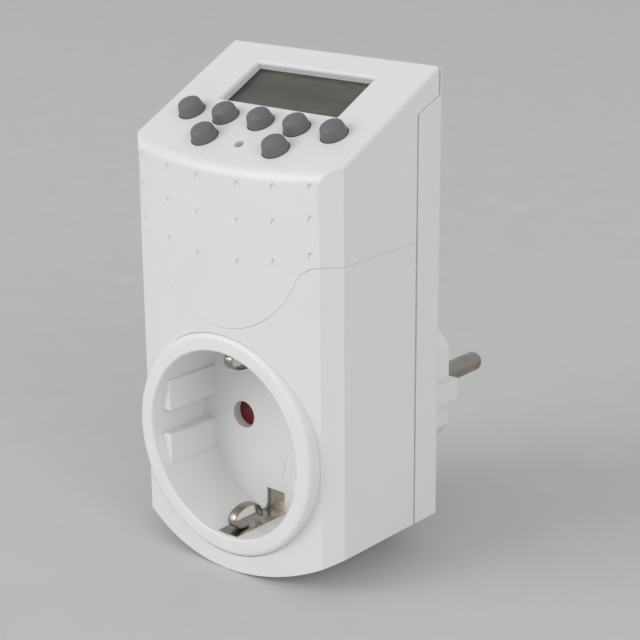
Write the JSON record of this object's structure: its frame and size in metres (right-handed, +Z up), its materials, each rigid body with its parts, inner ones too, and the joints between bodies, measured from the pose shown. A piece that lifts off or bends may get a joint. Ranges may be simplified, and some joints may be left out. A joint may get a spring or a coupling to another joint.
{
  "type": "plug-in timer switch",
  "caption": "Plug-in timer switch: earthed socket in front, pinned plug behind, sloped panel with a blank display, round grey keys and a reset hole.",
  "frame": {"origin": "middle of the plug's face, halfway between the two pins", "axes": "+Y out of the plug's face along the pins, +Z up along the housing, +X to the right of a person who faces the socket"},
  "size_m": [0.0592, 0.0824, 0.111],
  "materials": {
    "white_case": "glossy white moulded plastic",
    "white_insert": "satin white moulded plastic",
    "grey_key": "matte grey",
    "red_shutter": "matte red",
    "nickel": "nickel plated",
    "brass": "bare brass",
    "steel": "zinc plated steel",
    "window": "clear plastic",
    "display": "grey-green liquid crystal glass, blank",
    "board": "green laminate",
    "dark_part": "black moulded",
    "yellow_part": "yellow dipped",
    "keypad_rubber": "grey silicone",
    "lead_sleeve": "blue sleeve",
    "ribbon": "grey ribbon"
  },
  "bodies": {
    "housing": {"front_upper_cover": "white_case", "front_lower_cover": "white_case", "rear_cover": "white_case", "socket_insert": "white_insert", "shutter_retainer": "white_insert", "shutter_spring": "nickel", "earth_strap": "nickel", "plug_earth_contacts": "nickel", "live_pin": "nickel", "neutral_pin": "nickel", "live_socket_contact": "brass", "neutral_socket_contact": "brass", "neutral_link": "brass", "switched_lead": "lead_sleeve", "live_lead": "lead_sleeve", "neutral_lead": "lead_sleeve", "power_board": "board", "relay": "dark_part", "film_capacitor": "yellow_part", "electrolytic_capacitor": "dark_part", "rectifier_diodes": "dark_part", "series_resistor": "yellow_part", "varistor": "yellow_part", "case_screws": "steel", "power_board_screws": "steel", "board_screws": "steel", "lcd_window": "window", "lcd_panel": "display", "zebra_strips": "keypad_rubber", "control_board": "board", "microcontroller": "dark_part", "crystal": "steel", "backup_cell": "steel", "ribbon_cable": "ribbon", "keypad_mat": "keypad_rubber"},
    "key_1": {"key_1": "grey_key"},
    "key_2": {"key_2": "grey_key"},
    "key_3": {"key_3": "grey_key"},
    "key_4": {"key_4": "grey_key"},
    "key_5": {"key_5": "grey_key"},
    "key_6": {"key_6": "grey_key"},
    "key_7": {"key_7": "grey_key"},
    "reset_key": {"reset_key": "grey_key"},
    "shutter": {"shutter": "red_shutter"}
  },
  "joints": [
    {"name": "key_1_press", "type": "slide", "parent": "housing", "child": "key_1", "axis": [0, 0.4527, -0.8916], "range_m": [0, 0.001], "stiffness_N_per_m": 400},
    {"name": "key_2_press", "type": "slide", "parent": "housing", "child": "key_2", "axis": [0, 0.4527, -0.8916], "range_m": [0, 0.001], "stiffness_N_per_m": 400},
    {"name": "key_3_press", "type": "slide", "parent": "housing", "child": "key_3", "axis": [0, 0.4527, -0.8916], "range_m": [0, 0.001], "stiffness_N_per_m": 400},
    {"name": "key_4_press", "type": "slide", "parent": "housing", "child": "key_4", "axis": [0, 0.4527, -0.8916], "range_m": [0, 0.001], "stiffness_N_per_m": 400},
    {"name": "key_5_press", "type": "slide", "parent": "housing", "child": "key_5", "axis": [0, 0.4527, -0.8916], "range_m": [0, 0.001], "stiffness_N_per_m": 400},
    {"name": "key_6_press", "type": "slide", "parent": "housing", "child": "key_6", "axis": [0, 0.4527, -0.8916], "range_m": [0, 0.001], "stiffness_N_per_m": 400},
    {"name": "key_7_press", "type": "slide", "parent": "housing", "child": "key_7", "axis": [0, 0.4527, -0.8916], "range_m": [0, 0.001], "stiffness_N_per_m": 400},
    {"name": "reset_press", "type": "slide", "parent": "housing", "child": "reset_key", "axis": [0, 0.4527, -0.8916], "range_m": [0, 0.0005], "stiffness_N_per_m": 300},
    {"name": "shutter_turn", "type": "hinge", "parent": "housing", "child": "shutter", "pos_m": [0, -0.0435, 0], "axis": [0, 1, 0], "range_deg": [0, 60], "stiffness_Nm_per_rad": 0.002}
  ]
}
